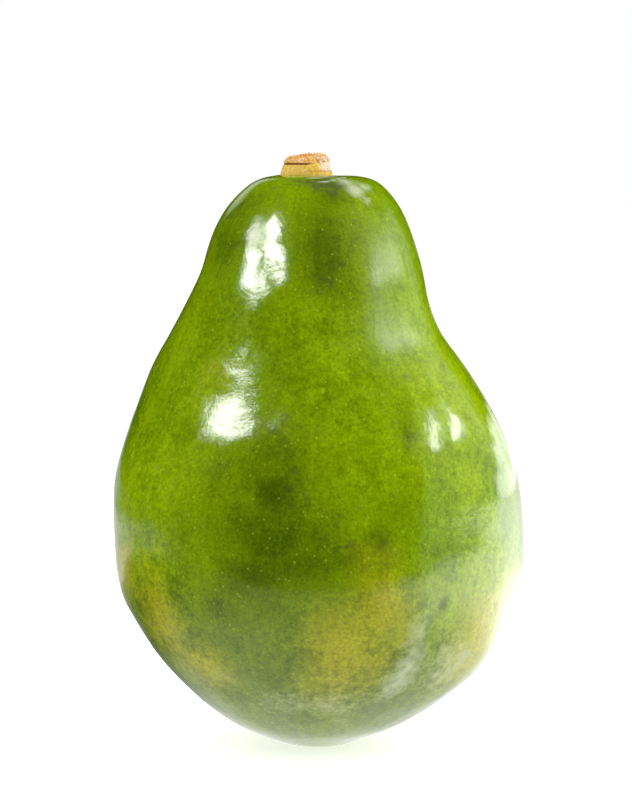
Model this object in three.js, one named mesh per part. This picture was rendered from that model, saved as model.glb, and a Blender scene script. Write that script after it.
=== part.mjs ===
// A whole unripe papaya standing on its blossom end, with the stub of its stalk.
// Millimetres, +Z up. The origin is the middle of the flat spot that the fruit rests on,
// +X is the fruit's right as it is seen from the front, and the front faces -Y.
import * as THREE from "three";

// Driving dimensions

// The skin's outline seen from the front: height above the rest, and how far the skin
// reaches to the left and to the right of the line that rises from the middle of the rest.
const FRUIT_OUTLINE = [
  [0, 8.5, 9.5],
  [1.2, 12.5, 12.5],
  [3, 17, 16.5],
  [7, 25, 26],
  [14, 34.4, 36.7],
  [22, 42.4, 46.8],
  [30, 49, 53.5],
  [38, 54, 57.5],
  [46, 58.4, 60.3],
  [56, 60.7, 62.8],
  [68, 61.3, 62.3],
  [80, 61, 60.9],
  [92, 57.6, 57.7],
  [104, 53.6, 52.3],
  [116, 49.5, 44.8],
  [126, 44.5, 37.4],
  [135, 39.6, 34.1],
  [145, 34.5, 32.4],
  [155, 31.3, 29.6],
  [163, 27, 25.8],
  [168, 22.6, 21.8],
  [171, 19.1, 18.8],
  [172.6, 14.6, 13.6],
  [173, 12, 9],
  [172.4, 10.2, 4.4],
];
const FRUIT_SIDES = 80; // points round each ring of the skin
const FRUIT_RINGS = 46; // rings between the rest and the stalk

// Five seed chambers push the skin out in five broad lobes with shallow furrows between.
const LOBES = 5;
const LOBE_TURN = 3; // degrees from the front to the middle of the first lobe
const LOBE_DEPTH_LOW = 0.019; // share of the radius, where the lobes are strongest
const LOBE_DEPTH_HIGH = 0.005; // and near the stalk
const LOBE_HEIGHT = 36; // where they are strongest
const LOBE_SPREAD = 30; // how far above and below that they fade
const FURROW_WIDTH = 0.3; // 0 is a sharp furrow, 1 a soft wave

// Slow swells that keep the skin from being evenly round. Each comes so many times round
// the fruit and winds up it, once round in the height of its wave.
const SWELLS = [
  { size: 0.45, times: 2, start: 40, wave: 95 },
  { size: 0.3, times: 3, start: 200, wave: 60 },
];
const SWELL_FADE = 16; // the swells die out this close to the rest and to the stalk

// Seen from the side the fruit isn't straight: it stands forward round three heights, and the
// neck is a share deeper from front to back than it is wide.
const LEANS = [
  { forward: 1.2, height: 50, spread: 20 }, // the belly
  { forward: 1.4, height: 98, spread: 11 }, // the belly's shoulder
  { forward: 3.8, height: 141, spread: 19 }, // the neck
];
const NECK_DEEPER = { share: 0.06, height: 141, spread: 19 };

// The socket in the crown that holds the root of the stalk.
const STALK_CENTRE = -2.9; // the stalk stands this far left of the rest's middle
const SOCKET_MOUTH = { radius: 6.7, height: 172.1 };
const SOCKET_WALL = { radius: 6.4, height: 171.4 };
const SOCKET_FLOOR = 169;

// The stalk: root, flared foot, wall, crack and torn top.
const STALK_SIDES = 44;
const CLEARANCE = 0.3; // between the root and its socket, and under the foot
const STALK_WALL = [
  // height and radius
  [173.1, 7.7],
  [173.7, 7.85],
  [174.7, 7.4],
  [175.7, 7.1],
];
const CRACK = { height: 176.3, opening: 0.5, depth: 0.7, from: -84, to: 8, fade: 12 };
const CRACK_LIPS = { below: 7, above: 6.8 }; // radius of the wall on either side of it
const RIM = { height: 178.6, tilt: 1.3, lowest: -40, radius: 6 };
const TORN_RINGS = 5; // rings across the torn face
const TORN_RISE = 0.75; // how far its middle stands above the rim
const TORN_DOME = 1.5; // 1 is a straight slope from the rim to the middle, more is a flatter middle
const TORN_ROUGHNESS = 0.5; // from the lowest to the highest of the fibre ends
const RIM_ROUGHNESS = 0.25; // and from the innermost to the outermost ones at the rim
const TORN_SEED = 7;

// Geometry

const radians = THREE.MathUtils.degToRad;

// A point at an angle round an upright line that stands to the right and forward of the rest's
// middle: 0 faces the front, a quarter turn faces the right. Depth stretches the ring to the
// front and the back.
function around(angle, radius, height, right, forward = 0, depth = 1) {
  const [across, ahead] = [radius * Math.sin(angle), radius * depth * Math.cos(angle)];
  return new THREE.Vector3(right + across, -forward - ahead, height);
}

// A closed surface through rings of points, each ring with as many points as the next,
// from a middle point below the first ring to one above the last.
function loft(rings, first, last) {
  const sides = rings[0].length;
  const points = [first, ...rings.flat(), last];
  const faces = [];
  const at = (ring, side) => 1 + ring * sides + (side % sides);
  for (let side = 0; side < sides; side++) {
    faces.push(0, at(0, side + 1), at(0, side));
    for (let ring = 0; ring + 1 < rings.length; ring++) {
      const [a, b] = [at(ring, side), at(ring, side + 1)];
      const [c, d] = [at(ring + 1, side), at(ring + 1, side + 1)];
      faces.push(a, b, d, a, d, c);
    }
    faces.push(at(rings.length - 1, side), at(rings.length - 1, side + 1), points.length - 1);
  }
  const geometry = new THREE.BufferGeometry().setFromPoints(points);
  geometry.setIndex(faces);
  geometry.computeVertexNormals();
  return geometry;
}

// The angles of a ring's points.
function turns(sides) {
  return Array.from({ length: sides }, (_, side) => (side / sides) * 2 * Math.PI);
}

// A plain round ring about the middle of the stalk.
function circle(sides, radius, height) {
  return turns(sides).map((angle) => around(angle, radius, height, STALK_CENTRE));
}

// How far out a lobe stands at an angle: 1 on a lobe's middle, about -1 in a furrow.
function lobe(angle) {
  const wave = Math.cos((LOBES / 2) * (angle - radians(LOBE_TURN)));
  const rounded = Math.sqrt(wave * wave + FURROW_WIDTH ** 2);
  const [low, high] = [FURROW_WIDTH, Math.sqrt(1 + FURROW_WIDTH ** 2)];
  return (2 * (rounded - low)) / (high - low) - 1;
}

// 1 at a height, and falling off above and below it.
function near(height, { height: middle, spread }) {
  return Math.exp(-(((height - middle) / spread) ** 2));
}

function lobeDepth(height) {
  const low = near(height, { height: LOBE_HEIGHT, spread: LOBE_SPREAD });
  return LOBE_DEPTH_HIGH + (LOBE_DEPTH_LOW - LOBE_DEPTH_HIGH) * low;
}

// The slow swells, in millimetres, at an angle and a height.
function swell(angle, height, top) {
  const room = Math.min(height, top - height) / SWELL_FADE;
  const fade = THREE.MathUtils.smoothstep(room, 0, 1);
  const sum = SWELLS.reduce((total, { size, times, start, wave }) => {
    const phase = times * (angle - radians(start)) + (2 * Math.PI * height) / wave;
    return total + size * Math.sin(phase);
  }, 0);
  return fade * sum;
}

function fruitGeometry() {
  const curve = new THREE.CatmullRomCurve3(
    FRUIT_OUTLINE.map(([height, left, right]) => new THREE.Vector3(left, right, height)),
  );
  const top = Math.max(...FRUIT_OUTLINE.map(([height]) => height));
  const skin = curve.getSpacedPoints(FRUIT_RINGS).map(({ x: left, y: right, z: height }, ring) => {
    const forward = LEANS.reduce((sum, lean) => sum + lean.forward * near(height, lean), 0);
    const depth = 1 + NECK_DEEPER.share * near(height, NECK_DEEPER);
    // The first ring bounds the flat rest, so it stays level.
    const level = ring ? height : 0;
    return turns(FRUIT_SIDES).map((angle) => {
      const radius = ((left + right) / 2) * (1 + lobeDepth(height) * lobe(angle));
      const swollen = radius + swell(angle, height, top);
      return around(angle, swollen, level, (right - left) / 2, forward, depth);
    });
  });
  const socket = [
    circle(FRUIT_SIDES, SOCKET_MOUTH.radius, SOCKET_MOUTH.height),
    circle(FRUIT_SIDES, SOCKET_WALL.radius, SOCKET_WALL.height),
    circle(FRUIT_SIDES, SOCKET_WALL.radius, SOCKET_FLOOR),
  ];
  return loft(
    [...skin, ...socket],
    new THREE.Vector3(0, 0, 0),
    new THREE.Vector3(STALK_CENTRE, 0, SOCKET_FLOOR),
  );
}

// Random numbers from 0 to 1, the same ones for the same seed.
function seeded(seed) {
  let state = seed;
  return () => {
    state = (Math.imul(state, 1664525) + 1013904223) >>> 0;
    return state / 2 ** 32;
  };
}

// 1 inside the crack's arc, 0 outside it, and smooth between.
function crackShare(angle) {
  const { from, to, fade } = CRACK;
  const degrees = THREE.MathUtils.radToDeg(angle);
  const turned = degrees > 180 ? degrees - 360 : degrees;
  const { smoothstep } = THREE.MathUtils;
  return smoothstep(turned, from - fade, from + fade) * (1 - smoothstep(turned, to - fade, to + fade));
}

function rimHeight(angle) {
  return RIM.height - RIM.tilt * Math.cos(angle - radians(RIM.lowest));
}

function stalkGeometry() {
  const random = seeded(TORN_SEED);
  const angles = turns(STALK_SIDES);
  const ring = (radius, height) =>
    angles.map((angle) => around(angle, radius(angle), height(angle), STALK_CENTRE));
  const plain = (radius, height) => circle(STALK_SIDES, radius, height);

  const rootRadius = SOCKET_WALL.radius - CLEARANCE;
  const rootFoot = SOCKET_FLOOR + CLEARANCE;
  const root = [plain(rootRadius, rootFoot), plain(rootRadius, SOCKET_MOUTH.height + CLEARANCE)];
  const wall = STALK_WALL.map(([height, radius]) => plain(radius, height));
  const half = CRACK.opening / 2;
  const bottom = (angle) => CRACK_LIPS.above - CRACK.depth * crackShare(angle);
  const crack = [
    plain(CRACK_LIPS.below, CRACK.height - half),
    ring(bottom, () => CRACK.height - half / 2),
    ring(bottom, () => CRACK.height + half / 2),
    plain(CRACK_LIPS.above, CRACK.height + half),
  ];
  const uneven = (roughness) => roughness * (random() - 0.5);
  const rim = ring(
    () => RIM.radius + uneven(RIM_ROUGHNESS),
    (angle) => rimHeight(angle) + uneven(TORN_ROUGHNESS),
  );
  const middle = RIM.height + TORN_RISE;
  const torn = Array.from({ length: TORN_RINGS }, (_, step) => {
    const share = 1 - (step + 1) / (TORN_RINGS + 1);
    const domed = (angle) => middle + (rimHeight(angle) - middle) * share ** TORN_DOME;
    return ring(() => RIM.radius * share, (angle) => domed(angle) + uneven(TORN_ROUGHNESS));
  });
  return loft(
    [...root, ...wall, ...crack, rim, ...torn],
    new THREE.Vector3(STALK_CENTRE, 0, rootFoot),
    new THREE.Vector3(STALK_CENTRE, 0, middle),
  );
}

// Scene

const skin = new THREE.MeshStandardMaterial({ color: 0x6f9a12, roughness: 0.3, metalness: 0 });
const cork = new THREE.MeshStandardMaterial({ color: 0xd9a441, roughness: 0.75, metalness: 0 });

const fruit = new THREE.Mesh(fruitGeometry(), skin);
fruit.name = "fruit";

const stalk = new THREE.Mesh(stalkGeometry(), cork);
stalk.name = "stalk";

const papaya = new THREE.Group();
papaya.add(fruit, stalk);

export default papaya;
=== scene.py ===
# %% [markdown]
# # A papaya on a light table
#
# An unripe papaya stands on its blossom end. It has two parts: the fruit, which is one pear-shaped
# body with five soft lobes, and the torn stub of its stalk. Both come from the CAD model as plain
# faceted solids. This lesson gives them the skin, the colour and the light that they need.
# Everything is in metres, +Z is up, and the fruit's front faces -Y.

# %% Load the model
import math

import bmesh
import bpy
import numpy as np
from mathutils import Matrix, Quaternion, Vector


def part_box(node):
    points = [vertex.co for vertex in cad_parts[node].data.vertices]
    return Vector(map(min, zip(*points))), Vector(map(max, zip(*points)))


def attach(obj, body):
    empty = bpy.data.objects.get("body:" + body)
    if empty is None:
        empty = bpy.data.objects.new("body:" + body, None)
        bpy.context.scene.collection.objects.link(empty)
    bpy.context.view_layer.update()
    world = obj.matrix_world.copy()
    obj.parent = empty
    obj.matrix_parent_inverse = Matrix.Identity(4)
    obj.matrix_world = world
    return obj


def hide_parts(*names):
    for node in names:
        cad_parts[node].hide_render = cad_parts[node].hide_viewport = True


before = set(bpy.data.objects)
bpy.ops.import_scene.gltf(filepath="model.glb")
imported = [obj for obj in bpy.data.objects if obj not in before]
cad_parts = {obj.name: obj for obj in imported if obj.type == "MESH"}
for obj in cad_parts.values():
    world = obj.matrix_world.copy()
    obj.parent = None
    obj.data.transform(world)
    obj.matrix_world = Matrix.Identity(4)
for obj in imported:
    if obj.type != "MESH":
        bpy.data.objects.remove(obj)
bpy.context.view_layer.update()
fruit_low, fruit_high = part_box("fruit")
stalk_low, stalk_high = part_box("stalk")
print("fruit is", round((fruit_high[2] - fruit_low[2]) * 1000, 1), "mm tall")

MM = 0.001

# %% [markdown]
# ## Camera
#
# The picture was taken from about the height of the fruit's crown: the foot of the stalk is seen
# edge-on. A long lens at arm's length keeps the outline as round as it is in the hand.

# %% Camera
CAMERA_DISTANCE = 0.9
CAMERA_HEIGHT = 0.175
AIM_HEIGHT = 0.105
LENS = 134  # mm on a 36 mm wide sensor

camera_data = bpy.data.cameras.new("camera")
camera_data.lens = LENS
camera = bpy.data.objects.new("camera", camera_data)
camera.location = (0, -CAMERA_DISTANCE, CAMERA_HEIGHT)
aim = Vector((0, 0, AIM_HEIGHT)) - camera.location
camera.rotation_euler = aim.to_track_quat("-Z", "Y").to_euler()
bpy.context.scene.collection.objects.link(camera)
bpy.context.scene.camera = camera
print("camera looks down", round(math.degrees(math.atan2(-aim.z, aim.y)), 1), "degrees")

# %% [markdown]
# ## Wiring nodes
#
# Shader and geometry trees are long to write by hand. One small class keeps each node to a line:
# its inputs may be numbers or the outputs of other nodes, and sizes of patterns are in metres.


# %% Wiring helper
def colour(red, green, blue):
    """A screen colour, 0 to 255 each, as the linear colour that shaders want."""
    screen = [value / 255 for value in (red, green, blue)]
    linear = [v / 12.92 if v <= 0.04045 else ((v + 0.055) / 1.055) ** 2.4 for v in screen]
    return (*linear, 1.0)


class Wiring:
    """Adds nodes to a tree, one call for each, and returns what they put out."""

    def __init__(self, tree):
        self.tree = tree

    def node(self, kind, inputs=None, **settings):
        made = self.tree.nodes.new(kind)
        for name, value in settings.items():
            setattr(made, name, value)
        for key, value in (inputs or {}).items():
            if isinstance(value, bpy.types.NodeSocket):
                self.tree.links.new(value, made.inputs[key])
            else:
                made.inputs[key].default_value = value
        return made

    def math(self, operation, *values):
        return self.node("ShaderNodeMath", dict(enumerate(values)), operation=operation).outputs[0]

    def vector(self, operation, *values, out=0, **named):
        inputs = {**dict(enumerate(values)), **named}
        return self.node("ShaderNodeVectorMath", inputs, operation=operation).outputs[out]

    def on_piece(self):
        """Where a point is, in metres from the middle of the rest."""
        return self.node("ShaderNodeTexCoord").outputs["Object"]

    def parts(self, vector):
        """The x, y and z of a vector."""
        return self.node("ShaderNodeSeparateXYZ", {0: vector}).outputs

    def join(self, x=0.0, y=0.0, z=0.0):
        """A vector from its x, y and z."""
        return self.node("ShaderNodeCombineXYZ", {0: x, 1: y, 2: z}).outputs[0]

    def channels(self, tint):
        """The red, green and blue of a colour."""
        return self.node("ShaderNodeSeparateColor", {0: tint}).outputs

    def grey(self, value):
        return self.node("ShaderNodeCombineColor", {0: value, 1: value, 2: value}).outputs[0]

    def noise(self, place, size, detail=2.0, roughness=0.5):
        """Smooth noise from 0 to 1, whose lumps are about the given size apart."""
        inputs = {"Vector": place, "Scale": 1 / size, "Detail": detail, "Roughness": roughness}
        return self.node("ShaderNodeTexNoise", inputs).outputs[0]

    def rise(self, value, low, high):
        """0 below low, 1 above high, and smooth between."""
        inputs = {"Value": value, "From Min": low, "From Max": high}
        made = self.node("ShaderNodeMapRange", inputs, interpolation_type="SMOOTHSTEP")
        return made.outputs[0]

    def waver(self, value, amount, middle=1.0):
        """A noise turned into a number that wavers about the middle."""
        return self.math("MULTIPLY_ADD", self.math("SUBTRACT", value, 0.5), amount, middle)

    def mix(self, share, first, second):
        """Goes over from the first number to the second one."""
        return self.node("ShaderNodeMix", {0: share, 2: first, 3: second}).outputs[0]

    def blend(self, share, first, second, how="MIX"):
        """Lays the second colour over the first one."""
        inputs = {0: share, 6: first, 7: second}
        return self.node("ShaderNodeMix", inputs, data_type="RGBA", blend_type=how).outputs[2]

    def lay(self, base, share, amount, tint):
        """Lays a tint over the base where the share says, as thick as the amount at most."""
        return self.blend(self.math("MULTIPLY", share, amount), base, tint)

    def bump(self, height, deep):
        """Turns a pattern into fine relief, so many metres deep."""
        inputs = {"Height": height, "Distance": deep, "Strength": 1.0}
        return self.node("ShaderNodeBump", inputs).outputs[0]

    def attribute(self, name):
        return self.node("ShaderNodeAttribute", attribute_name=name).outputs["Fac"]


def material(name):
    """An empty node material, with the wiring for its tree and its shader."""
    made = bpy.data.materials.new(name)
    made.use_nodes = True
    shader = made.node_tree.nodes["Principled BSDF"]
    return made, Wiring(made.node_tree), shader


print("leaf green in linear light is", [round(value, 3) for value in colour(108, 140, 0)[:3]])

# %% [markdown]
# ## The table and the air
#
# Glossy green skin shows whatever stands round it, so the room is built for its reflections. The
# table is white. On the left, where the fruit's own shadow falls, it reflects little. On the right
# and behind it is far brighter, and there it lays a whitish veil over the skin that ends in a
# clear edge, at the height where the skin begins to mirror the room above the table.
# Lamps could light such a table, but they would light the fruit too. So the table glows by itself.
# Two ramps round the fruit say how bright it is close by, in a middle band and far off, and where
# that band begins and ends. A pool of light lies at the foot. The camera sees plain white, and
# the light that the table throws on colours is milder than its reflection.

# %% The table
TABLE_REACH = 12.0  # metres from its middle to its edge
TABLE_WHITE = 0.66  # what the camera sees without any light on it
TABLE_COLOUR = 0.8
TABLE_ROUGHNESS = 0.9
TABLE_ROUND = [
    # degrees round the fruit (-180 behind, 0 in front, 90 on its right), the brightness of the
    # table near the fruit, in a middle band and far off, then in metres where that band begins
    # and ends, and how far the pool of light at the foot reaches
    (-180, 2.0, 0.9, 0.85, 0.3, 1.0, 0.1),
    (-165, 1.0, 0.8, 0.7, 0.3, 0.8, 0.08),
    (-150, 0.4, 0.8, 0.4, 0.26, 0.62, 0.055),
    (-135, 0.2, 0.9, 0.1, 0.28, 0.56, 0.055),
    (-115, 0.05, 0.8, 0.02, 0.42, 0.62, 0.055),
    (-94, 0.05, 1.0, 0.02, 0.43, 0.76, 0.065),
    (-82, 0.08, 0.4, 0.02, 0.4, 0.7, 0.09),
    (-72, 0.1, 0.05, 0.02, 0.4, 0.7, 0.1),
    (-58, 0.15, 0.05, 0.02, 0.3, 0.7, 0.1),
    (-40, 0.5, 0.08, 0.02, 0.25, 0.8, 0.1),
    (28, 0.35, 0.05, 0.05, 0.3, 0.9, 0.1),
    (50, 1.7, 0.6, 0.05, 0.4, 0.9, 0.1),
    (58, 2.5, 1.6, 0.1, 0.4, 1.0, 0.1),
    (68, 3.3, 2.9, 0.4, 0.4, 1.5, 0.1),
    (78, 3.8, 3.5, 0.6, 0.4, 2.1, 0.1),
    (92, 4.1, 4.2, 0.9, 0.4, 2.1, 0.1),
    (109, 4.3, 4.4, 1.0, 0.4, 2.1, 0.1),
    (119, 4.2, 4.4, 4.0, 0.4, 2.1, 0.1),
    (130, 3.5, 3.4, 3.3, 0.3, 1.5, 0.1),
    (140, 2.9, 2.4, 2.3, 0.3, 1.5, 0.08),
    (150, 2.2, 1.6, 1.5, 0.3, 1.0, 0.06),
    (163, 1.8, 1.0, 1.0, 0.3, 1.0, 0.07),
    (180, 2.0, 0.9, 0.85, 0.3, 1.0, 0.1),
]
TABLE_BRIGHTEST = 5.0  # the brightness that a full ramp stands for
SHADE_REACH = (0.03, 0.18)  # in the fruit's shade up to here, and clear of it from there
BAND_SOFTNESS = 0.1  # the share of its distance over which an edge of the band fades
POOL_LIGHT = 1.35  # how bright the pool is in its middle
TABLE_LIGHT_SHARE = 0.34  # the share of its brightness that it throws on colours
TABLE_LIGHT_LEAST = 0.82  # and what it throws at least

table_mesh = bpy.data.meshes.new("table")
table_corners = [(-1, -1), (1, -1), (1, 1), (-1, 1)]
table_points = [(x * TABLE_REACH, y * TABLE_REACH, 0) for x, y in table_corners]
table_mesh.from_pydata(table_points, [], [(0, 1, 2, 3)])
table = bpy.data.objects.new("table", table_mesh)
bpy.context.scene.collection.objects.link(table)


def table_ramp(nodes, share, first, scale):
    """Three columns of the table's rows, from the given one on, as ramps round the fruit."""
    ramp = nodes.node("ShaderNodeValToRGB", {0: share})
    stops = ramp.color_ramp.elements
    for index, row in enumerate(TABLE_ROUND):
        stop = stops[index] if index < 2 else stops.new(1)
        stop.position = row[0] / 360 + 0.5
        stop.color = (*(value / scale for value in row[first : first + 3]), 1)
    return nodes.channels(ramp.outputs[0])


def table_brightness(nodes):
    """How bright the skin sees each place on the table."""
    place = nodes.parts(nodes.on_piece())
    turn = nodes.math("ARCTAN2", place[0], nodes.math("MULTIPLY", place[1], -1.0))
    share = nodes.math("MULTIPLY_ADD", turn, 0.5 / math.pi, 0.5)
    near_by, middle, far_off = table_ramp(nodes, share, 1, TABLE_BRIGHTEST)
    begins, ends, pool_reach = table_ramp(nodes, share, 4, 1.0)
    reach = nodes.vector("LENGTH", nodes.join(place[0], place[1]), out=1)
    bright = near_by
    for edge, beyond in ((begins, middle), (ends, far_off)):
        past = nodes.rise(nodes.math("DIVIDE", reach, edge), 1 - BAND_SOFTNESS, 1 + BAND_SOFTNESS)
        bright = nodes.mix(past, bright, beyond)
    clear = nodes.math("MULTIPLY", nodes.rise(reach, *SHADE_REACH), TABLE_BRIGHTEST)
    bright = nodes.math("MULTIPLY", bright, clear)
    spread = nodes.math("POWER", nodes.math("DIVIDE", reach, pool_reach), 2.0)
    pool = nodes.math("EXPONENT", nodes.math("MULTIPLY", spread, -1.0))
    return nodes.math("MULTIPLY_ADD", pool, POOL_LIGHT, bright)


def table_finish():
    made, nodes, shader = material("white_table")
    made.cycles.emission_sampling = "NONE"
    ray = nodes.node("ShaderNodeLightPath").outputs
    mirrored = table_brightness(nodes)
    lighting = nodes.math("MULTIPLY_ADD", mirrored, TABLE_LIGHT_SHARE, TABLE_LIGHT_LEAST)
    glow = nodes.math("MULTIPLY", ray["Is Camera Ray"], TABLE_WHITE)
    glow = nodes.math("MULTIPLY_ADD", ray["Is Glossy Ray"], mirrored, glow)
    glow = nodes.math("MULTIPLY_ADD", ray["Is Diffuse Ray"], lighting, glow)
    own = nodes.grey(nodes.math("MULTIPLY", ray["Is Camera Ray"], TABLE_COLOUR))
    nodes.tree.links.new(own, shader.inputs["Base Color"])
    nodes.tree.links.new(glow, shader.inputs["Emission Strength"])
    shader.inputs["Emission Color"].default_value = (1, 1, 1, 1)
    shader.inputs["Roughness"].default_value = TABLE_ROUGHNESS
    shader.inputs["Specular IOR Level"].default_value = 0.0
    return made


table_mesh.materials.append(table_finish())

print("the table has", len(TABLE_ROUND), "stops of brightness round the fruit")

# %% The air
AIR_LIGHT = 0.68  # what the air throws on colours

world = bpy.data.worlds.new("studio")
bpy.context.scene.world = world
world.use_nodes = True
world.cycles.sampling_method = "NONE"
sky = Wiring(world.node_tree)
path = sky.node("ShaderNodeLightPath").outputs
lit = sky.math("MULTIPLY", path["Is Diffuse Ray"], AIR_LIGHT)
seen = sky.math("ADD", path["Is Camera Ray"], lit)
air = world.node_tree.nodes["Background"]
sky.tree.links.new(seen, air.inputs["Strength"])
air.inputs["Color"].default_value = (1, 1, 1, 1)

bpy.context.scene.view_settings.view_transform = "Standard"
print("the air throws", AIR_LIGHT, "on colours")

# %% [markdown]
# ## Windows, walls and soft lights
#
# The skin is a curved mirror, and each highlight on it is the picture of a bright thing. On the
# left stands a tall window whose panes climb like stairs. Its lower panes make the highlight on
# the belly, and all of them together the long one on the neck. On the right two narrow panes
# make thin strips, and a pale wall stands behind them. Small cards close to the fruit whiten the
# right rim of the belly, and a wall and a strip behind it do so at other edges. All of these are
# seen only in reflections. Large soft lights that aren't mirrored light the colours.
# A picture of a room would do the same, but flat lights can be placed one by one, and a few
# numbers say where the fruit sees each.


# %% Panels of light
LIGHT_CENTRE = 0.11  # metres above the rest, where the panels are aimed


def panel(name, turn, lift, width, height, roll, distance, power, mirrored):
    """A flat light that faces the fruit. Turn is 0 in front and 90 on the right, lift is how high it
    stands, and a positive roll leans its top to the left. Width and height are in degrees too, as
    the fruit sees them. It is seen in reflections or lights the colour, but not both."""
    turn, lift = math.radians(turn), math.radians(lift)
    way = Vector((math.sin(turn) * math.cos(lift), -math.cos(turn) * math.cos(lift), math.sin(lift)))
    data = bpy.data.lights.new(name, "AREA")
    data.shape = "RECTANGLE"
    data.size = 2 * distance * math.tan(math.radians(width) / 2)
    data.size_y = 2 * distance * math.tan(math.radians(height) / 2)
    data.energy = power * data.size * data.size_y
    light = bpy.data.objects.new(name, data)
    light.location = Vector((0, 0, LIGHT_CENTRE)) + way * distance
    rolled = Quaternion((0, 0, 1), math.radians(roll))
    light.rotation_euler = (way.to_track_quat("Z", "Y") @ rolled).to_euler()
    light.visible_camera = False
    light.visible_diffuse = not mirrored
    light.visible_glossy = mirrored
    bpy.context.scene.collection.objects.link(light)


PANELS = [
    # name, turn, lift, width, height, roll, distance in metres, power in watts for each square
    # metre, and whether it is mirrored
    ("window_left_a", -68, 33.5, 15, 6.5, 0, 4.0, 100, True),
    ("window_left_b", -76, 40.5, 15, 7, 0, 4.0, 100, True),
    ("window_left_c", -92, 49, 15.5, 10, 0, 4.0, 45, True),
    ("window_left_d", -55, 37, 6.5, 6, 0, 4.0, 100, True),
    ("window_left_e", -46.5, 46.4, 18, 5.6, 0, 4.0, 100, True),
    ("window_left_f", -58.5, 52.5, 20, 7, 0, 4.0, 100, True),
    ("window_left_g", -76, 59.5, 16, 7, 0, 4.0, 100, True),
    ("window_right_a", 84, 27, 3.6, 18, -40, 4.0, 85, True),
    ("window_right_b", 103, 25, 3.0, 15, -60, 4.0, 85, True),
    ("wall_right", 100, 16, 67, 40, 0, 5.0, 2.3, True),
    ("card_low", 118, -7, 26, 6, 0, 0.184, 11.3, True),
    ("card_middle", 122, -0.6, 18, 6.3, 0, 0.182, 10.7, True),
    ("card_high", 126, 4.5, 10, 3.8, 0, 0.179, 9.4, True),
    ("card_behind", 137, -3.6, 13.3, 14, 0, 0.168, 6.0, True),
    ("wall_behind", 176, 1, 22, 5, 0, 5.0, 2.7, True),
    ("strip_behind", -160, 24, 22, 11, 0, 1.5, 3.0, True),
    ("soft_right", 100, 35, 60, 60, 0, 1.5, 7.4, False),
    ("soft_left", -100, 25, 60, 60, 0, 1.5, 2.8, False),
    ("soft_above", 0, 68, 60, 45, 0, 1.5, 2.8, False),
]
for row in PANELS:
    panel(*row)
print(len(PANELS), "panels of light")

# %% [markdown]
# ## The skin as a fine mesh
#
# The CAD fruit is faceted, with about 5 mm between its rings. The fine skin starts as a copy of it:
# shared corners are joined, triangle pairs become quads again, and the flat spot below gets
# rings of its own, because the scar that the flower left sits in its middle. Two steps of
# subdivision then round everything off to about 1 mm between points.

# %% Copy and subdivide the fruit
SCAR_RINGS = [
    # share of the flat spot's radius, and how deep the ring lies in mm
    (0.8, 0.0),
    (0.62, 0.0),
    (0.46, 0.1),
    (0.36, 0.45),
    (0.27, 0.75),
    (0.17, 0.6),
    (0.09, 0.35),
]
FINE_LEVELS = 2  # steps of subdivision
SAME_PLACE = 1e-6  # metres, within which corners are joined


def copy_node(node):
    """A CAD node's surface with its shared corners joined and its triangle pairs made quads."""
    work = bmesh.new()
    work.from_mesh(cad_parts[node].data)
    bmesh.ops.remove_doubles(work, verts=work.verts, dist=SAME_PLACE)
    limits = {"angle_face_threshold": 0.6, "angle_shape_threshold": 1.2}  # radians
    bmesh.ops.join_triangles(work, faces=work.faces, cmp_seam=False, **limits)
    return work


def add_flower_scar(work):
    """Replaces the flat spot's fan of triangles with rings that dip in the middle."""
    middle = min(work.verts, key=lambda v: v.co.xy.length + abs(v.co.z))
    ring = [edge.other_vert(middle) for edge in middle.link_edges]
    ring.sort(key=lambda v: math.atan2(v.co.x, -v.co.y))
    bmesh.ops.delete(work, geom=[middle], context="VERTS")
    outer = [v.co.copy() for v in ring]
    for share, depth in SCAR_RINGS:
        inner = [work.verts.new((co.x * share, co.y * share, depth * MM)) for co in outer]
        for here in range(len(ring)):
            there = (here + 1) % len(ring)
            work.faces.new((ring[here], ring[there], inner[there], inner[here]))
        ring = inner
    work.faces.new(reversed(ring))


def finish_mesh(work, name):
    """Turns the work into a mesh with its faces outward and smooth."""
    bmesh.ops.recalc_face_normals(work, faces=work.faces)
    mesh = bpy.data.meshes.new(name)
    work.to_mesh(mesh)
    work.free()
    mesh.shade_smooth()
    return mesh


def add_object(name, mesh):
    made = bpy.data.objects.new(name, mesh)
    bpy.context.scene.collection.objects.link(made)
    return made


def baked(thing):
    """The evaluated piece as a plain mesh, with its modifiers gone."""
    bpy.context.view_layer.update()
    graph = bpy.context.evaluated_depsgraph_get()
    mesh = bpy.data.meshes.new_from_object(thing.evaluated_get(graph))
    thing.modifiers.clear()
    return mesh


def round_off(piece, levels):
    """Subdivides a piece and leaves it a plain mesh."""
    rounding = piece.modifiers.new("rounding", "SUBSURF")
    rounding.levels = rounding.render_levels = levels
    piece.data = baked(piece)


skin_work = copy_node("fruit")
add_flower_scar(skin_work)
skin = add_object("skin", finish_mesh(skin_work, "skin"))
round_off(skin, FINE_LEVELS)
print("skin has", len(skin.data.polygons), "faces")
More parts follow.
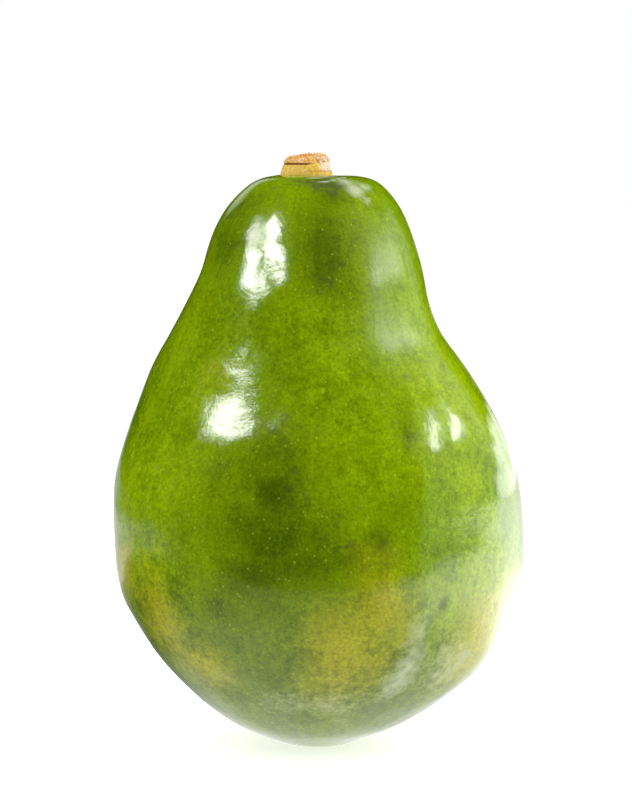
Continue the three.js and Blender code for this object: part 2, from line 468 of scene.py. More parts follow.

# %% [markdown]
# ## Marks on the skin
#
# A papaya ripens from the blossom end, first along the crowns of its lobes, so five yellow patches
# stand round the foot of the fruit. Darker smears, lime green flushes, corky skin by the stalk,
# and pale films of wax make this one an individual. The smears also hold painted shade in the
# middle of the front, the flushes painted light on the left of the belly, and the films painted
# reflections on the right shoulder, round the stalk and low on the belly. They could be painted
# by hand. Here each mark is a row in a short list: where it is round the fruit and above the
# rest, and how wide and tall it is. The marks become attributes of the mesh, because they belong
# to the skin.


# %% Measuring and marking a mesh
class Marks:
    """Where each point of a piece is, in mm and degrees, and the marks that are laid on it."""

    def __init__(self, piece):
        self.mesh = piece.data
        flat = np.empty(len(self.mesh.vertices) * 3)
        self.mesh.vertices.foreach_get("co", flat)
        self.across, self.back, self.height = flat.reshape(-1, 3).T / MM
        self.angle = np.degrees(np.arctan2(self.across, -self.back))
        self.radius = np.hypot(self.across, self.back)

    def gap_to(self, turn):
        """How far each point is from a line up the skin at an angle, positive to its right."""
        return np.radians((self.angle - turn + 180) % 360 - 180) * np.maximum(self.radius, 1)

    def spots(self, rows):
        """How strongly soft-edged spots cover each point, from 0 to 1."""
        cover = np.zeros(len(self.height))
        for turn, middle, wide, tall, strength in rows:
            spread = (self.gap_to(turn) / wide) ** 2 + ((self.height - middle) / tall) ** 2
            cover = np.maximum(cover, strength * np.exp(-spread))
        return cover

    def keep(self, name, values):
        """Stores one number for each point."""
        stored = self.mesh.attributes.new(name, "FLOAT", "POINT")
        stored.data.foreach_set("value", np.asarray(values, dtype=np.float32))


def smooth(value, low, high):
    share = np.clip((value - low) / (high - low), 0, 1)
    return share * share * (3 - 2 * share)


on_skin = Marks(skin)
print("skin reaches", round(on_skin.radius.max(), 1), "mm from its axis")

# %% Colour marks
STALK_X, STALK_Y = ((stalk_low[axis] + stalk_high[axis]) / 2 / MM for axis in (0, 1))

# Each row gives the angle round the fruit, the height, half width and half height in mm, and
# the strength.
RIPE = [
    (8, 36, 14, 17, 1.0),
    (15, 35, 12, 12, 0.8),
    (17, 50, 12, 12, 0.95),
    (22, 42, 9, 10, 0.6),
    (-52, 44, 12, 18, 0.8),
    (-70, 58, 12, 11, 0.8),
    (-43, 30, 11, 9, 0.8),
    (58, 38, 14, 17, 1.0),
    (72, 44, 12, 14, 0.9),
    (140, 34, 14, 18, 0.9),
    (-138, 36, 13, 20, 0.95),
    (-36, 116, 7, 5, 0.35),
    (14, 66, 10, 6, 0.45),
]
# dark smears; where they lie in the middle of the front, on the belly and the neck, they are painted
# shade as well
DEEP_AND_SHADE = [
    (-12, 83, 9, 9, 0.95),
    (-13, 87, 18, 19, 0.68),
    (-11, 72, 24, 15, 0.8),
    (-17, 60, 15, 9, 0.8),
    (-3, 65, 24, 11, 0.68),
    (7, 58, 9, 5, 0.4),
    (-27, 84, 9, 14, 0.45),
    (-24, 66, 10, 10, 0.45),
    (-26, 50, 9, 7, 0.4),
    (4, 152, 11, 16, 0.8),
    (6, 142, 14, 10, 0.5),
    (12, 166, 9, 5, 0.6),
    (-50, 154, 11, 14, 0.6),
    (26, 150, 8, 18, 0.35),
    (28, 99, 3, 9, 0.5),
    (16, 70, 7, 5, 0.6),
    (24, 78, 9, 8, 0.35),
    (37, 49.5, 2.6, 2.8, 0.8),
    (33, 45, 2.4, 3.4, 0.6),
    (31, 38, 1.8, 3.0, 0.5),
    (118, 96, 16, 30, 0.5),
    (-165, 80, 18, 26, 0.7),
    (-110, 120, 9, 20, 0.45),
    (168, 130, 10, 20, 0.4),
]
# lime green flushes; the rows on the left of the belly, at -50 to -72 degrees, are painted light there
# as well
LIME_AND_LIGHT = [
    (-49, 88, 18, 22, 0.6),
    (-66, 98, 10, 14, 0.6),
    (-72, 62, 16, 14, 1.0),
    (-66, 80, 13, 15, 1.1),
    (-50, 59, 14, 10, 1.0),
    (-30, 62, 14, 10, 0.5),
    (5, 112, 14, 20, 0.6),
    (0, 134, 12, 8, 0.6),
    (-34, 112, 12, 14, 0.7),
    (50, 80, 14, 22, 0.8),
    (52, 108, 16, 28, 1.0),
    (38, 46, 12, 12, 0.8),
    (56, 56, 16, 14, 1.0),
    (100, 60, 18, 24, 0.5),
    (-125, 72, 18, 22, 0.6),
    (160, 100, 18, 20, 0.5),
]
WEATHERED = [
    (-14, 171.4, 6, 1.8, 0.5),
    (5, 171, 7, 2.4, 0.8),
    (20, 169.8, 7, 2.8, 0.75),
]
WAX_AND_REFLECTIONS = [
    # pale films of wax, with painted reflections among them: a streak on the right shoulder and pale
    # streaks low on the belly beside the crease
    (29, 171.2, 4.0, 1.8, 1.0),
    (33, 168.6, 4.2, 2.8, 1.2),
    (37, 165.8, 2.6, 3.0, 1.0),
    (44, 169.5, 4.5, 2.4, 0.9),
    (31, 44, 8, 12, 0.6),
    (29, 29, 8, 13, 0.9),
    (46, 30, 12, 12, 0.7),
    (62, 50, 12, 14, 0.5),
    (-38, 26, 12, 8, 0.35),
    (-12, 19, 16, 8, 0.6),
    (10, 20, 16, 8, 0.6),
]
DULL = [
    # places where the gloss is blurred
    (38, 128, 18, 10, 1.7),
    (38, 150, 14, 15, 1.5),
]
HIGHLIGHT_ARCS = [
    # painted highlights on the wrinkles round the stalk: mm from its middle, the first and the last
    # angle, strength
    (11.2, 8, 46, 1.2),
    (13.0, -2, 38, 1.3),
    (15.4, 2, 50, 1.3),
    (18.6, 10, 36, 1.1),
]
ARC_WIDTH, ARC_WOBBLE = 0.5, 0.7
ARC_LOWEST = 150  # mm above the rest, so that no painted highlight shows below the neck

# deep holds dark smears and painted shade, lime also painted light, and the wax marks painted
# reflections
marked = {"ripe": RIPE, "deep": DEEP_AND_SHADE, "lime_and_light": LIME_AND_LIGHT, "weathered": WEATHERED, "wax_and_reflection": WAX_AND_REFLECTIONS, "dull": DULL}
cover = {name: on_skin.spots(rows) for name, rows in marked.items()}

from_stalk = np.hypot(on_skin.across - STALK_X, on_skin.back - STALK_Y)
round_stalk = np.degrees(np.arctan2(on_skin.across - STALK_X, STALK_Y - on_skin.back))
# the arcs are painted highlights, laid into the same mask as the wax films and painted reflections
for reach, first, last, strength in HIGHLIGHT_ARCS:
    off_line = from_stalk - reach - ARC_WOBBLE * np.sin(np.radians(round_stalk * 7))
    line = np.exp(-((off_line / ARC_WIDTH) ** 2))
    length = smooth(round_stalk, first - 8, first + 4) * (1 - smooth(round_stalk, last - 4, last + 8))
    arc = strength * line * length * (on_skin.height > ARC_LOWEST)
    cover["wax_and_reflection"] = np.maximum(cover["wax_and_reflection"], arc)
for name, values in cover.items():
    on_skin.keep(name, values)
print(len(RIPE), "ripe,", len(DEEP_AND_SHADE), "deep and", len(LIME_AND_LIGHT), "lime patches")

# %% [markdown]
# ## Creases and rolls
#
# One furrow of the fruit holds a crease with a raised lip, the skin by the stalk is wrinkled, and
# a ring of it stands round the foot of the stalk. The right shoulder has a shallow fold, and the
# left of the neck a low roll, above which its highlight ends. Sculpting would do for one view.
# Written as sums over the points, each of them has a depth and a width in millimetres.

# %% Relief marks, in mm
CREASE_HEIGHTS = [14, 24, 33, 42, 50, 58]
CREASE_ANGLES = [27, 30, 32, 33, 36, 38]
CREASE_DEPTH, CREASE_WIDTH = 0.3, 2.8
LIP_HEIGHT, LIP_WIDTH = 0.1, 3
WRINKLE_PITCH, WRINKLE_HEIGHT = 1.7, 0.1
FOLD_ANGLE, FOLD_DEPTH, FOLD_WIDTH = 35, 0.25, 2.4
ROLL_ANGLE, ROLL_HEIGHT, ROLL_WIDTH = -36, 0.62, 15
COLLAR_RADIUS, COLLAR_HEIGHT, COLLAR_WIDTH = 8.6, 0.3, 0.9
NECK_TOP = 160  # the collar lies above this height

crease_line = np.interp(on_skin.height, CREASE_HEIGHTS, CREASE_ANGLES)
crease_gap = on_skin.gap_to(crease_line) + 0.5 * np.sin(on_skin.height / 3.1)
crease_ends = smooth(on_skin.height, 12, 26) * (1 - smooth(on_skin.height, 46, 56))
groove = np.exp(-((crease_gap / CREASE_WIDTH) ** 2))
lip = np.exp(-(((crease_gap + 4) / LIP_WIDTH) ** 2))
crease = (LIP_HEIGHT * lip - CREASE_DEPTH * groove) * crease_ends

by_stalk = on_skin.height > NECK_TOP
bent = 1.4 * np.sin(np.radians(on_skin.angle) * 5)
wrinkle_wave = np.sin(2 * np.pi * from_stalk / WRINKLE_PITCH + bent)
wrinkles = WRINKLE_HEIGHT * wrinkle_wave * on_skin.spots(WEATHERED)
fold_line = np.exp(-((on_skin.gap_to(FOLD_ANGLE) / FOLD_WIDTH) ** 2))
shoulder_fold = -FOLD_DEPTH * fold_line * smooth(on_skin.height, 163, 169)
neck_roll = ROLL_HEIGHT * np.exp(-((on_skin.gap_to(ROLL_ANGLE) / ROLL_WIDTH) ** 2))
neck_roll *= smooth(on_skin.height, 133, 144) * (1 - smooth(on_skin.height, 148, 170))
collar_ring = COLLAR_HEIGHT * np.exp(-(((from_stalk - COLLAR_RADIUS) / COLLAR_WIDTH) ** 2)) * by_stalk

on_skin.keep("relief", crease + wrinkles + shoulder_fold + neck_roll + collar_ring)
# where the crease is painted in shade
on_skin.keep("crease", np.exp(-(((crease_gap - 0.5) / 0.9) ** 2)) * crease_ends)
on_skin.keep("collar", (1 - smooth(from_stalk, 8.2, 10.4)) * by_stalk)
on_skin.keep("flower_scar", 1 - smooth(on_skin.radius + 40 * (on_skin.height > 3), 2.2, 3.8))
on_skin.keep("rough", smooth(on_skin.height, 0.3, 6))
print("the crease is", CREASE_HEIGHTS[-1] - CREASE_HEIGHTS[0], "mm long")

# %% [markdown]
# ## Relief
#
# Skin that is perfectly smooth looks cast. The real one swells and dips by a few tenths of a
# millimetre over a centimetre or two, and its cells give it a fine grain. A Geometry Nodes tree
# moves each point along its normal by two sizes of noise and by the marks above. Its inputs are
# the sizes, so the same tree roughens the torn end of the stalk as well.


# %% Tree that raises a surface
def geometry_tree(name, sizes):
    """A new tree with a geometry input and output, a material input and an input for each size."""
    tree = bpy.data.node_groups.new(name, "GeometryNodeTree")
    tree.interface.new_socket("Geometry", in_out="INPUT", socket_type="NodeSocketGeometry")
    tree.interface.new_socket("Finish", in_out="INPUT", socket_type="NodeSocketMaterial")
    for size in sizes:
        tree.interface.new_socket(size, in_out="INPUT", socket_type="NodeSocketFloat")
    tree.interface.new_socket("Geometry", in_out="OUTPUT", socket_type="NodeSocketGeometry")
    wiring = Wiring(tree)
    return tree, wiring, wiring.node("NodeGroupInput").outputs, wiring.node("NodeGroupOutput").inputs


def run_tree(piece, tree, values):
    """Runs a tree on a piece and leaves it a plain mesh."""
    modifier = piece.modifiers.new(tree.name, "NODES")
    modifier.node_group = tree
    for item in tree.interface.items_tree:
        if item.in_out == "INPUT" and item.name in values:
            modifier[item.identifier] = values[item.name]
    piece.data = baked(piece)


def finish_tree(nodes, geometry, given, result):
    """Ends a tree: real geometry, smooth, in its finish."""
    real = nodes.node("GeometryNodeRealizeInstances", {"Geometry": geometry}).outputs[0]
    rounded = nodes.node("GeometryNodeSetShadeSmooth", {"Geometry": real}).outputs[0]
    inputs = {"Geometry": rounded, "Material": given["Finish"]}
    done = nodes.node("GeometryNodeSetMaterial", inputs).outputs[0]
    nodes.tree.links.new(done, result["Geometry"])


def stored(nodes, name):
    """A number that was stored for each point."""
    return nodes.node("GeometryNodeInputNamedAttribute", {"Name": name}, data_type="FLOAT").outputs[0]


def relief_tree():
    sizes = ["Swell spacing", "Swell height", "Grain spacing", "Grain height"]
    tree, nodes, given, result = geometry_tree("raise_surface", sizes)
    place = nodes.node("GeometryNodeInputPosition").outputs[0]
    moves = []
    for kind in ("Swell", "Grain"):
        scale = nodes.math("DIVIDE", 1.0, given[f"{kind} spacing"])
        inputs = {"Vector": place, "Scale": scale, "Detail": 1.5}
        wave = nodes.node("ShaderNodeTexNoise", inputs).outputs[0]
        centred = nodes.math("SUBTRACT", wave, 0.5)
        moves.append(nodes.math("MULTIPLY", centred, given[f"{kind} height"]))
    both = nodes.math("MULTIPLY", nodes.math("ADD", *moves), stored(nodes, "rough"))
    amount = nodes.math("MULTIPLY_ADD", stored(nodes, "relief"), MM, both)
    normal = nodes.node("GeometryNodeInputNormal").outputs[0]
    inputs = {"Geometry": given["Geometry"], "Offset": nodes.vector("SCALE", normal, Scale=amount)}
    raised = nodes.node("GeometryNodeSetPosition", inputs).outputs[0]
    finish_tree(nodes, raised, given, result)
    return tree


raise_surface = relief_tree()
print("relief tree has", len(raise_surface.nodes), "nodes")

# %% [markdown]
# ## Skin finish
#
# The colour is built in layers, as a painter would: a leaf green that wanders between two hues, lime
# and deep patches, the yellow of the ripe crowns, then mottling a millimetre across and fine
# pores. The lime and deep patches hold painted light and painted shade as well, and on top lie the
# painted shade of the crease and the wax films with their painted reflections. Streaks run from
# pole to pole, so they read a direction that follows the fruit round.
# A painted picture would be quicker, but patterns stay sharp at any distance and have no seam.

# %% Tints of the skin
LEAF = colour(108, 140, 0)
LEAF_YELLOWER = colour(128, 156, 0)
# deep green of the smears, used too as painted shade in the middle of the front
DEEP_GREEN_AND_SHADE = colour(48, 70, 0)
# lime green of the flushes, used too as painted light on the left of the belly
LIME_GREEN_AND_LIGHT = colour(140, 168, 2)
RIPE_YELLOW = colour(156, 158, 18)
RIPE_ORANGE = colour(170, 158, 40)
FOOT_GREEN = colour(100, 120, 12)
FLECK_LIME = colour(158, 178, 30)
PORE_DARK = colour(50, 74, 0)
PORE_PALE = colour(178, 196, 60)
SCAR_BROWN = colour(72, 82, 46)
# white of the wax films and of the painted reflections
WAX_AND_REFLECTION_WHITE = colour(205, 212, 180)
COLLAR_PALE = colour(168, 186, 96)
# painted shade in the crease
CREASE_SHADE = colour(44, 58, 14)
CORK = colour(120, 96, 60)
LAYERS_BELOW = [
    # mark, the cover at which the tint begins and is full, how ragged its edge is, how thick it
    # lies, and the tint
    # lime: flushes, and painted light on the left of the belly
    ("lime_and_light", 0.1, 1.0, 1.2, 0.75, LIME_GREEN_AND_LIGHT),
    ("ripe", 0.0, 1.0, 0.9, 1.0, RIPE_YELLOW),
    ("ripe", 0.7, 1.3, 0.7, 0.3, RIPE_ORANGE),
    # deep: dark smears, and painted shade in the middle of the front
    ("deep", 0.0, 1.1, 1.5, 0.9, DEEP_GREEN_AND_SHADE),
]
LAYERS_ABOVE = [
    # the crease's painted shade
    ("crease", 0.45, 1.3, 1.6, 0.6, CREASE_SHADE),
    ("weathered", 0.1, 1.0, 1.8, 0.75, SCAR_BROWN),
    # wax films, partly painted reflection
    ("wax_and_reflection", 0.3, 1.2, 1.0, 0.6, WAX_AND_REFLECTION_WHITE),
    ("collar", 0.2, 0.9, 0.6, 0.7, COLLAR_PALE),
]
print(len(LAYERS_BELOW) + len(LAYERS_ABOVE), "layers of marks are laid on the leaf green")


# %% Patterns of the skin
WANDER_SIZE = 0.045  # metres, like the sizes below
BLOTCH_SIZE = 0.012
MOTTLE_SIZE = 0.0024
FLECK_SIZE = 0.0016
GRAIN_SIZE = 0.0009
PORE_SPACING = 0.0017
STREAK_SIZE = 0.045  # the width of a streak as a share of the fruit's radius
STREAK_RISE = 4.0  # how fast a streak changes with the height


def skin_patterns(nodes, place):
    """The patterns that the colour and the gloss are made of, by name."""
    across, back, height = nodes.parts(place)
    way = nodes.parts(nodes.vector("NORMALIZE", nodes.join(across, back)))
    streak_place = nodes.join(way[0], way[1], nodes.math("MULTIPLY", height, STREAK_RISE))
    return {
        "height": height,
        "wander": nodes.rise(nodes.noise(place, WANDER_SIZE, detail=3), 0.35, 0.68),
        "blotch": nodes.noise(place, BLOTCH_SIZE, detail=4, roughness=0.6),
        "mottle": nodes.noise(place, MOTTLE_SIZE, detail=4, roughness=0.7),
        "fleck": nodes.noise(place, FLECK_SIZE, detail=3, roughness=0.8),
        "grain": nodes.noise(place, GRAIN_SIZE, detail=3, roughness=0.75),
        "streak": nodes.noise(streak_place, STREAK_SIZE, detail=3, roughness=0.6),
    }


def ragged_mark(nodes, pattern, name, low, high, ragged):
    """A mark's cover with its edge broken up by the blotches and the mottling."""
    coarse = nodes.waver(pattern["blotch"], ragged, 0.0)
    fine = nodes.waver(pattern["mottle"], ragged * 0.8, 0.0)
    spread = nodes.math("ADD", nodes.attribute(name), nodes.math("ADD", coarse, fine))
    return nodes.rise(spread, low, high)


print("the grain of the skin is", round(GRAIN_SIZE / MM, 2), "mm across")


# %% Colour of the skin
FOOT_FADE = (0.030, 0.070)  # metres above the rest, between which the foot's green gives way
SHADES = (("streak", 0.5), ("mottle", 1.2), ("grain", 1.5))  # how strongly each darkens


def lay_marks(nodes, pattern, base, layers):
    for name, low, high, ragged, amount, tint in layers:
        share = ragged_mark(nodes, pattern, name, low, high, ragged)
        base = nodes.lay(base, share, amount, tint)
    return base


def lay_pores(nodes, place, base):
    """Dark and pale pores, which are drawn from the cells of one pattern."""
    inputs = {"Vector": place, "Scale": 1 / PORE_SPACING, "Randomness": 1.0}
    cells = nodes.node("ShaderNodeTexVoronoi", inputs).outputs
    pore = nodes.math("SUBTRACT", 1.0, nodes.rise(cells["Distance"], 0.08, 0.28))
    drawn = nodes.channels(cells["Color"])
    dark = nodes.math("MULTIPLY", pore, nodes.rise(drawn[0], 0.6, 0.7))
    pale = nodes.math("MULTIPLY", pore, nodes.rise(drawn[1], 0.72, 0.8))
    return nodes.lay(nodes.lay(base, dark, 0.35, PORE_DARK), pale, 0.45, PORE_PALE)


def skin_colour(nodes, place, pattern):
    base = nodes.blend(pattern["wander"], LEAF, LEAF_YELLOWER)
    foot = nodes.math("SUBTRACT", 1.0, nodes.rise(pattern["height"], *FOOT_FADE))
    base = nodes.lay(base, foot, 0.9, FOOT_GREEN)
    base = lay_marks(nodes, pattern, base, LAYERS_BELOW)
    shade = nodes.waver(pattern["blotch"], 0.9)
    for name, amount in SHADES:
        shade = nodes.math("MULTIPLY", shade, nodes.waver(pattern[name], amount))
    base = nodes.blend(1.0, base, nodes.grey(shade), "MULTIPLY")
    in_blotches = nodes.rise(pattern["blotch"], 0.35, 0.6)
    fleck = nodes.math("MULTIPLY", nodes.rise(pattern["fleck"], 0.6, 0.74), in_blotches)
    base = nodes.lay(base, fleck, 0.5, FLECK_LIME)
    base = lay_pores(nodes, place, base)
    base = lay_marks(nodes, pattern, base, LAYERS_ABOVE)
    return nodes.blend(nodes.attribute("flower_scar"), base, CORK)


print("the skin darkens with", len(SHADES) + 1, "patterns")

# %% [markdown]
# ## Gloss of the skin
#
# The skin is waxy. Its gloss is nearly even and only blurred by films of wax, by a few dull places
# and by the scar of the flower. Its cells are far too small for the mesh, so a bump in the
# finish stands for them. It frays the edges of the highlights as real cells do.


# %% Gloss of the skin
SKIN_ROUGHNESS = 0.1
SKIN_IOR = 1.46  # of plant wax
CELL_SIZE, DIMPLE_SIZE, STRIP_SIZE = 0.0006, 0.003, 0.0014
CELL_DEPTH = 0.00003


def skin_roughness(nodes, pattern):
    rough = nodes.waver(pattern["blotch"], 0.06, SKIN_ROUGHNESS)
    films = ragged_mark(nodes, pattern, "wax_and_reflection", 0.3, 1.2, 1.0)
    dull = nodes.attribute("dull")
    scar = nodes.attribute("flower_scar")
    for share, amount in ((films, 0.15), (dull, 0.16), (scar, 0.5)):
        rough = nodes.math("MULTIPLY_ADD", share, amount, rough)
    return rough


def skin_cells(nodes, place):
    cells = nodes.noise(place, CELL_SIZE, detail=2, roughness=0.6)
    drawn_out = nodes.vector("MULTIPLY", place, (1.0, 1.0, 0.25))
    strips = nodes.noise(drawn_out, STRIP_SIZE, detail=2)
    dimples = nodes.noise(place, DIMPLE_SIZE, detail=2)
    relief = nodes.math("ADD", nodes.math("MULTIPLY_ADD", dimples, 1.6, cells), strips)
    return nodes.bump(relief, CELL_DEPTH)


def skin_finish():
    made, nodes, shader = material("papaya_skin")
    place = nodes.on_piece()
    pattern = skin_patterns(nodes, place)
    nodes.tree.links.new(skin_colour(nodes, place, pattern), shader.inputs["Base Color"])
    nodes.tree.links.new(skin_roughness(nodes, pattern), shader.inputs["Roughness"])
    nodes.tree.links.new(skin_cells(nodes, place), shader.inputs["Normal"])
    shader.inputs["IOR"].default_value = SKIN_IOR
    return made


skin_sizes = {
    "Swell spacing": 14 * MM,
    "Swell height": 0.5 * MM,
    "Grain spacing": 4 * MM,
    "Grain height": 0.05 * MM,
}
run_tree(skin, raise_surface, {"Finish": skin_finish(), **skin_sizes})
print("skin has", len(skin.data.polygons), "faces and its relief")

# %% [markdown]
# ## The stub of the stalk
#
# The stalk was broken off a few millimetres above the fruit. Its foot and lower wall are smooth
# and ochre. A crack runs part way round, and above it the wood is torn into pale orange
# fibres, whiter on the right, where the bark came away last. It could be modelled anew, but the
# CAD stalk has the right shape already, so the stub is a finer copy of it. Marks tell wall,
# crack and torn wood apart, and the relief tree roughens the torn wood.

# %% Copy the stalk
STALK_LEVELS = 2
FOOT_INNER = 6.6  # mm from the middle of the stalk, inside which nothing is moved
FOOT_OUT, FOOT_DOWN = 0.2, 1.0
FOOT_TOP, FOOT_TALL = 174.2, 1.3


def spread_foot(piece):
    """Draws the foot of the stub out and down, so that it grows out of the skin."""
    for vertex in piece.data.vertices:
        from_middle = vertex.co.xy - Vector((STALK_X, STALK_Y)) * MM
        share = min(1, max(0, (FOOT_TOP - vertex.co.z / MM) / FOOT_TALL))
        if from_middle.length > FOOT_INNER * MM and share:
            vertex.co.xy += from_middle.normalized() * FOOT_OUT * share * MM
            vertex.co.z -= FOOT_DOWN * share * MM


stub = add_object("stalk_stub", finish_mesh(copy_node("stalk"), "stalk_stub"))
round_off(stub, STALK_LEVELS)
spread_foot(stub)
print("stub has", len(stub.data.polygons), "faces")

# %% Marks on the stalk
CRACK_HEIGHT, CRACK_HALF = 176.3, 0.3
SEAM_HEIGHT, SEAM_HALF = 174.2, 0.22
FIBRE_ROOM = 0.5  # how far the torn top is sunk in mm, so that the fibres on it end at its height
STRAND_HEIGHT, LUMP_HEIGHT, CRACK_DEPTH = 0.06, 0.1, 0.05

on_stub = Marks(stub)
stub_angle = np.degrees(np.arctan2(on_stub.across - STALK_X, STALK_Y - on_stub.back))
stub_radius = np.hypot(on_stub.across - STALK_X, on_stub.back - STALK_Y)
crack_line = np.exp(-(((on_stub.height - CRACK_HEIGHT) / CRACK_HALF) ** 2)) * smooth(stub_radius, 3, 5)
crack = crack_line * smooth(stub_angle, -110, -70) * (1 - smooth(stub_angle, -6, 22))
whiter = smooth(stub_angle, 18, 50) * (1 - smooth(stub_angle, 110, 150))
bark_gone = 0.55 * whiter * smooth(on_stub.height, 173.4, 174.6)
torn = np.maximum(smooth(on_stub.height, 176.2, 177.0), bark_gone)
seam_line = np.exp(-(((on_stub.height - SEAM_HEIGHT) / SEAM_HALF) ** 2))
around = np.radians(stub_angle)
strands = np.sin(around * 31 + 1.2 * np.sin(on_stub.height * 2.1)) * smooth(stub_radius, 4, 6)
lumps = np.sin(around * 13 + on_stub.height * 2.3) * np.sin(on_stub.height * 3.1 + stub_radius)
raised_wood = STRAND_HEIGHT * strands + LUMP_HEIGHT * torn * lumps
sunk_top = FIBRE_ROOM * smooth(on_stub.height, 178.0, 179.6)

on_stub.keep("torn", torn)
# the crack carries its relief and its painted shade
on_stub.keep("crack", crack)
on_stub.keep("whiter", whiter * smooth(on_stub.height, 173.4, 174.4))
on_stub.keep("seam", seam_line * smooth(stub_angle, -10, 10))
on_stub.keep("relief", raised_wood - CRACK_DEPTH * crack - sunk_top)
on_stub.keep("rough", (0.12 + 0.88 * torn) * smooth(on_stub.height, 173, 173.6))
print("the torn wood begins", round(on_stub.height[torn > 0.9].min(), 1), "mm above the rest")

# %% [markdown]
# ## Stalk finish
#
# Dry stalk is matt. Its strands run upwards, so their pattern is drawn out along the height. One
# function makes two finishes: the stub's, where marks lay the ochre wall under the torn wood, and
# the fibres', which are torn wood all over.

# %% Stalk finish
WALL_OCHRE = colour(224, 182, 40)
WALL_PALE = colour(236, 202, 96)
TORN_ORANGE = colour(228, 166, 76)
TORN_STRAW = colour(240, 206, 138)
BARK_WHITE = colour(228, 208, 184)
# painted shade in the crack
CRACK_SHADE = colour(170, 106, 26)
SEAM_BROWN = colour(168, 108, 40)


STALK_ROUGHNESS, STALK_GLOSS = 0.7, 0.3
STRAND_SIZE, PATCH_SIZE, CRUMB_SIZE = 0.0009, 0.0022, 0.0006
STRAND_DEPTH = 0.00025


def lay_wall(nodes, wood, strand, patch):
    """The smooth wall under the torn wood, with its white flank, its seam, and the painted shade of its
    crack.
    """
    wall = nodes.blend(nodes.rise(strand, 0.35, 0.68), WALL_OCHRE, WALL_PALE)
    ragged = nodes.math("ADD", nodes.attribute("torn"), nodes.waver(patch, 0.8, 0.0))
    base = nodes.blend(nodes.rise(ragged, 0.3, 0.7), wall, wood)
    white = nodes.math("ADD", nodes.attribute("whiter"), nodes.waver(patch, 1.0, 0.0))
    base = nodes.lay(base, nodes.rise(white, 0.3, 0.8), 0.8, BARK_WHITE)
    base = nodes.lay(base, nodes.attribute("seam"), 0.7, SEAM_BROWN)
    return nodes.blend(nodes.rise(nodes.attribute("crack"), 0.15, 0.6), base, CRACK_SHADE)


def stalk_finish(name, has_wall):
    made, nodes, shader = material(name)
    place = nodes.on_piece()
    drawn_out = nodes.vector("MULTIPLY", place, (1.0, 1.0, 0.3))
    strand = nodes.noise(drawn_out, STRAND_SIZE, detail=3, roughness=0.6)
    patch = nodes.noise(place, PATCH_SIZE, detail=3, roughness=0.6)
    crumb = nodes.noise(place, CRUMB_SIZE, detail=2, roughness=0.6)
    base = nodes.blend(nodes.rise(patch, 0.38, 0.62), TORN_ORANGE, TORN_STRAW)
    if has_wall:
        base = lay_wall(nodes, base, strand, patch)
    base = nodes.lay(base, nodes.rise(crumb, 0.62, 0.72), 0.6, SEAM_BROWN)
    bump = nodes.bump(nodes.math("ADD", strand, crumb), STRAND_DEPTH)
    nodes.tree.links.new(base, shader.inputs["Base Color"])
    nodes.tree.links.new(bump, shader.inputs["Normal"])
    shader.inputs["Roughness"].default_value = STALK_ROUGHNESS
    shader.inputs["Specular IOR Level"].default_value = STALK_GLOSS
    return made


stub_sizes = {
    "Swell spacing": 1.6 * MM,
    "Swell height": 1.1 * MM,
    "Grain spacing": 0.6 * MM,
    "Grain height": 0.35 * MM,
}
run_tree(stub, raise_surface, {"Finish": stalk_finish("stalk_wood", True), **stub_sizes})
print("stub's top is at", round(max(v.co.z for v in stub.data.vertices) / MM, 1), "mm")

# %% [markdown]
# ## Torn fibres
#
# Where the stalk tore, hundreds of fibre ends stand up, each a fraction of a millimetre thick.
# Hair would do, but it isn't a mesh and would be lost in the export. A cone with five sides is
# enough for one fibre. A Geometry Nodes tree scatters cones where the wood is marked as torn and
# leans each one upwards and outwards, with a length drawn from a fixed seed.


# %% Scattering
def scatter(nodes, given, density):
    """Random points on the surface, and the seed that they were drawn from."""
    seed = nodes.node("FunctionNodeFloatToInt", {0: given["Seed"]}).outputs[0]
    inputs = {"Mesh": given["Geometry"], "Density": density, "Seed": seed}
    return nodes.node("GeometryNodeDistributePointsOnFaces", inputs).outputs, seed


def drawn_size(nodes, smallest, largest, seed):
    inputs = {2: smallest, 3: largest, "Seed": seed}
    return nodes.node("FunctionNodeRandomValue", inputs, data_type="FLOAT").outputs[1]


def set_out(nodes, points, shape, turned, scale):
    """A copy of the shape on each point."""
    inputs = {"Points": points, "Instance": shape, "Rotation": turned, "Scale": scale}
    return nodes.node("GeometryNodeInstanceOnPoints", inputs).outputs[0]


print("fibres and beads are scattered in the same way")

# %% Fibres
FIBRE_SWAY = 0.6  # how far a fibre leans to any side, where 1 is as far as its normal
FIBRE_SUNK = 0.2  # the share of its length that is in the wood
FIBRE_SHAPE = {"Vertices": 5, "Radius Top": 0.12, "Radius Bottom": 0.5, "Depth": 1.0}


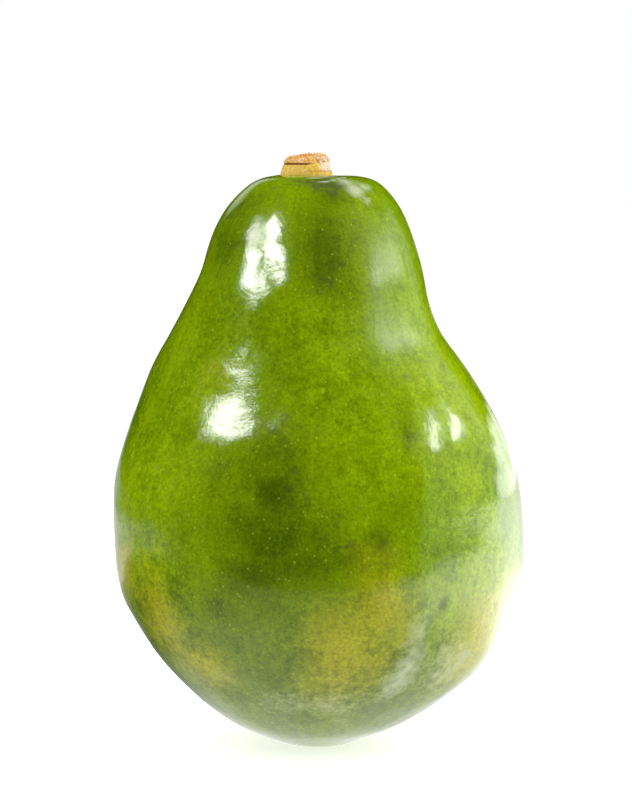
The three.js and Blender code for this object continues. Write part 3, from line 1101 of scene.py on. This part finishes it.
def fibre_tree():
    sizes = ["Per square metre", "Shortest", "Longest", "Thickness", "Upward", "Seed"]
    tree, nodes, given, result = geometry_tree("torn_fibres", sizes)
    on_torn = nodes.rise(stored(nodes, "torn"), 0.5, 1.0)
    points, seed = scatter(nodes, given, nodes.math("MULTIPLY", given["Per square metre"], on_torn))
    length = drawn_size(nodes, given["Shortest"], given["Longest"], seed)
    inputs = {0: (-FIBRE_SWAY,) * 3, 1: (FIBRE_SWAY,) * 3, "Seed": seed}
    sway = nodes.node("FunctionNodeRandomValue", inputs, data_type="FLOAT_VECTOR").outputs[0]
    upright = nodes.vector("ADD", points["Normal"], nodes.join(z=given["Upward"]))
    lean = nodes.vector("ADD", upright, sway)
    turned = nodes.node("FunctionNodeAlignRotationToVector", {"Vector": lean}, axis="Z").outputs[0]
    cone = nodes.node("GeometryNodeMeshCone", FIBRE_SHAPE).outputs[0]
    inputs = {"Geometry": cone, "Translation": (0, 0, -FIBRE_SUNK)}
    sunk = nodes.node("GeometryNodeTransform", inputs).outputs[0]
    scale = nodes.join(given["Thickness"], given["Thickness"], length)
    placed = set_out(nodes, points["Points"], sunk, turned, scale)
    finish_tree(nodes, placed, given, result)
    return tree


fibres = add_object("torn_fibres", stub.data.copy())
fibre_sizes = {
    "Per square metre": 3.0e6,
    "Shortest": 0.4 * MM,
    "Longest": 0.95 * MM,
    "Thickness": 0.26 * MM,
    "Upward": 2.2,
    "Seed": 4.0,
}
run_tree(fibres, fibre_tree(), {"Finish": stalk_finish("stalk_fibres", False), **fibre_sizes})
print("fibres have", len(fibres.data.polygons), "faces")

# %% [markdown]
# ## Lenticels and flecks
#
# Small corky breathing pores stand on the skin, and a few dark flecks mark old knocks. Dots in the
# colour would lie flat. Each is a flattened bead with twenty faces instead, which catches light.
# A Geometry Nodes tree scatters them over the skin, turned to its normals and with sizes drawn at
# random from a fixed seed.


# %% Beads
BEAD_PATCHES = 0.03  # metres between the patches where beads are dense
BARE_FOOT = (0.004, 0.012)  # metres above the rest, between which the first beads come


def bead_tree():
    sizes = ["Per square metre", "Smallest", "Largest", "Flatness", "Seed"]
    tree, nodes, given, result = geometry_tree("scatter_beads", sizes)
    place = nodes.node("GeometryNodeInputPosition").outputs[0]
    patchy = nodes.rise(nodes.noise(place, BEAD_PATCHES), 0.35, 0.65)
    above_rest = nodes.rise(nodes.parts(place)[2], *BARE_FOOT)
    share = nodes.math("MULTIPLY", patchy, above_rest)
    points, seed = scatter(nodes, given, nodes.math("MULTIPLY", given["Per square metre"], share))
    wide = drawn_size(nodes, given["Smallest"], given["Largest"], seed)
    inputs = {"Radius": 0.5, "Subdivisions": 1}
    bead = nodes.node("GeometryNodeMeshIcoSphere", inputs).outputs[0]
    scale = nodes.join(wide, wide, nodes.math("MULTIPLY", wide, given["Flatness"]))
    placed = set_out(nodes, points["Points"], bead, points["Rotation"], scale)
    finish_tree(nodes, placed, given, result)
    return tree


def plain_finish(name, tint, roughness):
    """A tint that wears half as bright again in patches."""
    made, nodes, shader = material(name)
    wear = nodes.noise(nodes.on_piece(), 0.004, detail=2)
    paler = tuple(min(1, value * 1.5) for value in tint[:3]) + (1,)
    nodes.tree.links.new(nodes.blend(wear, tint, paler), shader.inputs["Base Color"])
    shader.inputs["Roughness"].default_value = roughness
    return made


scatter_beads = bead_tree()
BEADS = [
    # name, tint, roughness, per square metre, smallest and largest in mm, flatness, seed
    ("lenticels", colour(150, 166, 48), 0.35, 5000, 0.16, 0.38, 0.3, 11),
    ("knock_flecks", colour(52, 50, 16), 0.5, 1600, 0.22, 0.5, 0.12, 23),
]
bead_pieces = []
for name, tint, roughness, count, smallest, largest, flatness, seed in BEADS:
    beads = add_object(name, skin.data.copy())
    values = {
        "Finish": plain_finish(name, tint, roughness),
        "Per square metre": float(count),
        "Smallest": smallest * MM,
        "Largest": largest * MM,
        "Flatness": flatness,
        "Seed": float(seed),
    }
    run_tree(beads, scatter_beads, values)
    bead_pieces.append(beads)
    print(name, "have", len(beads.data.polygons), "faces")

# %% [markdown]
# ## Handing over
#
# The fruit and its stalk are one rigid body. The skin takes the place of the CAD fruit and the stub
# that of the CAD stalk. The fibres and the beads ride on the same body.

# %% Finish
for piece in (skin, stub, fibres, *bead_pieces):
    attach(piece, "root")
for piece, node in ((skin, "fruit"), (stub, "stalk")):
    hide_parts(node)

print(3 + len(bead_pieces), "pieces ride on the fruit's body")
